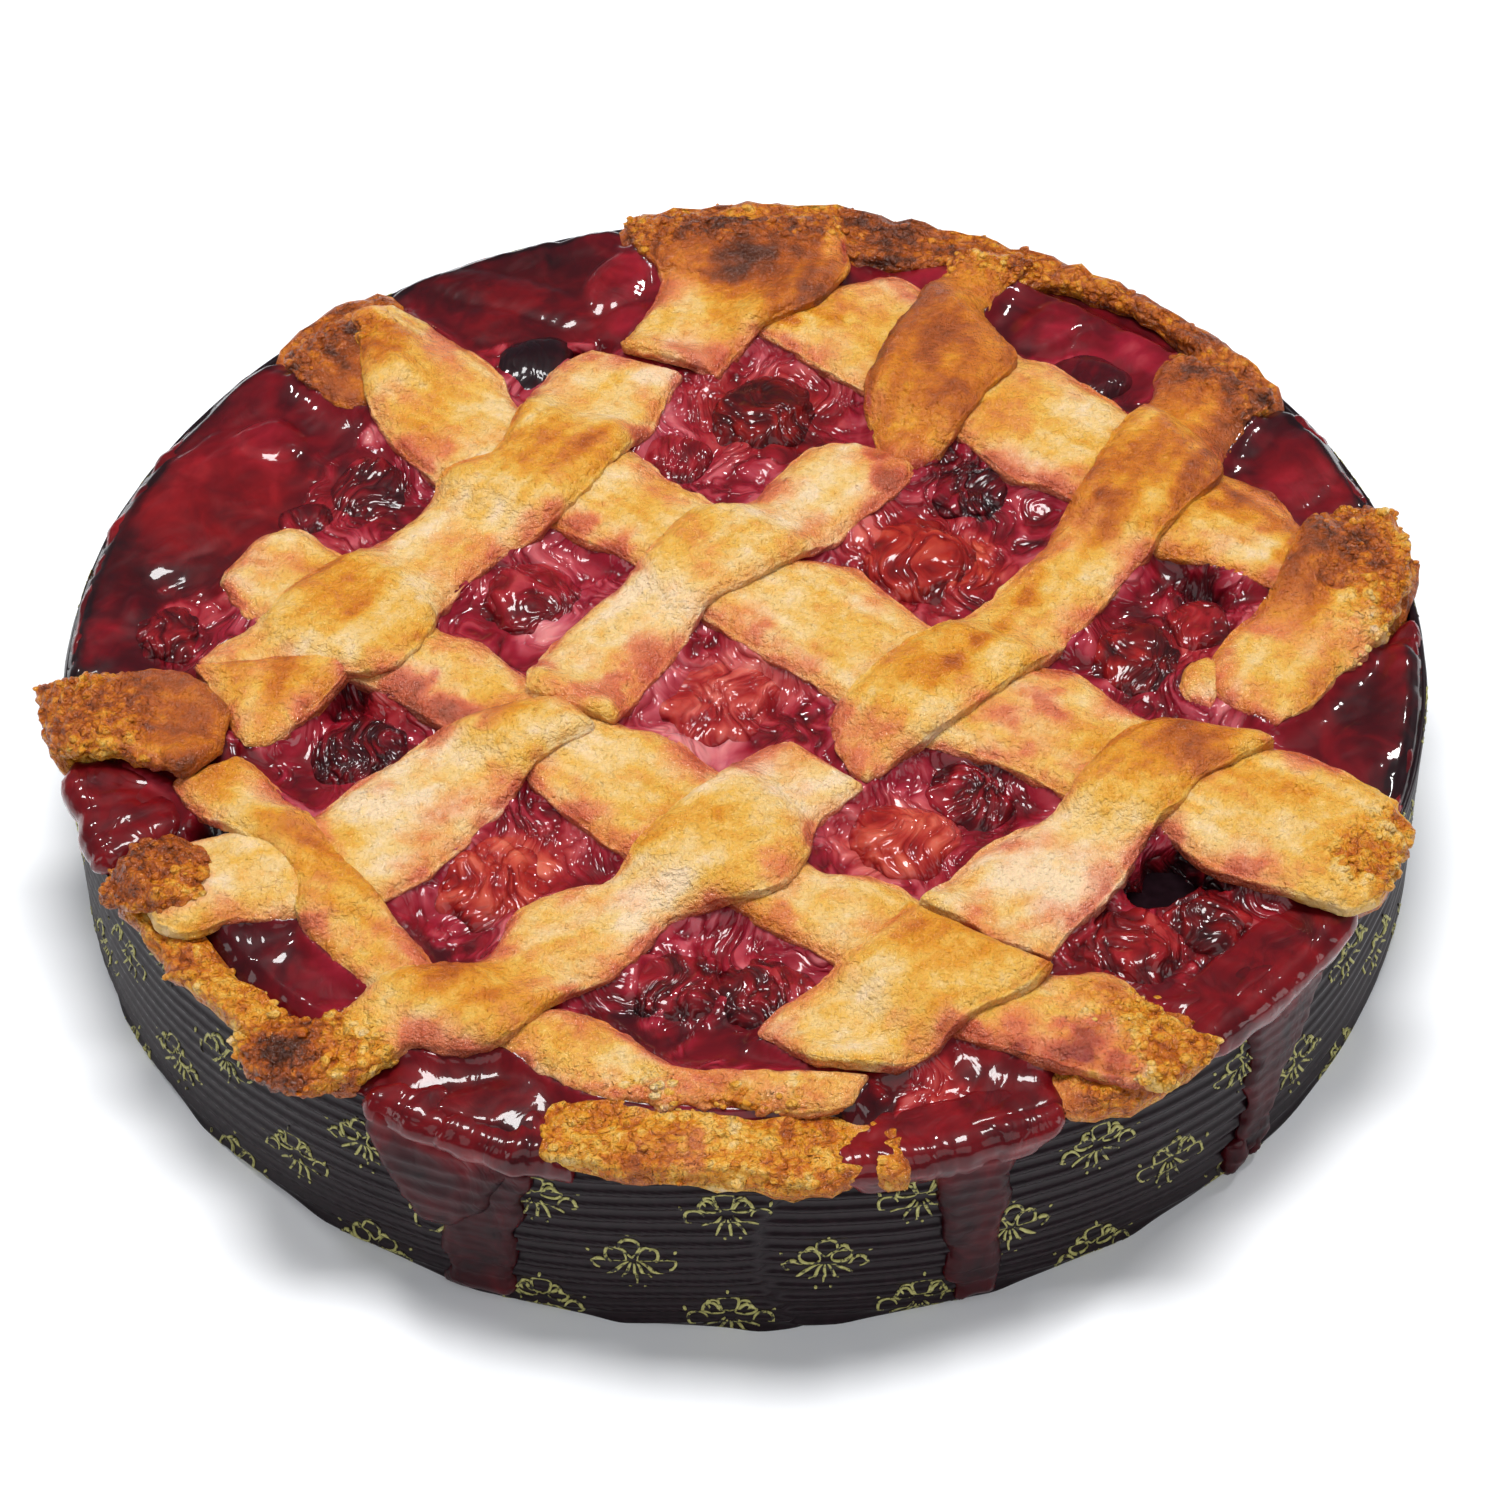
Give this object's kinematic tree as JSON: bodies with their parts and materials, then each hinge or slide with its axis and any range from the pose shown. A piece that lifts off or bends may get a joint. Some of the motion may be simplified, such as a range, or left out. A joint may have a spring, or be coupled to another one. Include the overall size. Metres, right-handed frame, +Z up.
{
  "type": "cherry tart",
  "caption": "Round lattice-topped cherry tart: uneven woven dough strips over a glossy fruit filling, baked in a low ribbed dark paper mould.",
  "frame": {"origin": "centre of the paper mould's flat underside", "axes": "+Z up through the tart, +X to the right and -Y to the front, where the mould's paper is lapped"},
  "size_m": [0.2134, 0.21, 0.0442],
  "materials": {
    "paper_mould": "satin",
    "pastry": "satin",
    "filling": "gloss",
    "cherry": "gloss"
  },
  "bodies": {
    "root": {"paper_mould": "paper_mould", "pastry_case": "pastry", "cherry_filling": "filling", "strip_a1": "pastry", "strip_a1_end": "pastry", "strip_a2": "pastry", "strip_a3": "pastry", "strip_a4": "pastry", "strip_a4_end": "pastry", "strip_b1": "pastry", "strip_b1_end": "pastry", "strip_b2": "pastry", "strip_b3": "pastry", "strip_b4": "pastry", "cherry_01": "cherry", "cherry_02": "cherry", "cherry_03": "cherry", "cherry_04": "cherry", "cherry_05": "cherry", "cherry_06": "cherry", "cherry_07": "cherry", "cherry_08": "cherry", "cherry_09": "cherry", "cherry_10": "cherry", "cherry_11": "cherry", "cherry_12": "cherry", "cherry_13": "cherry", "cherry_14": "cherry", "cherry_15": "cherry", "cherry_16": "cherry", "cherry_17": "cherry", "cherry_18": "cherry", "cherry_19": "cherry", "cherry_20": "cherry", "cherry_21": "cherry", "cherry_22": "cherry"}
  },
  "joints": []
}
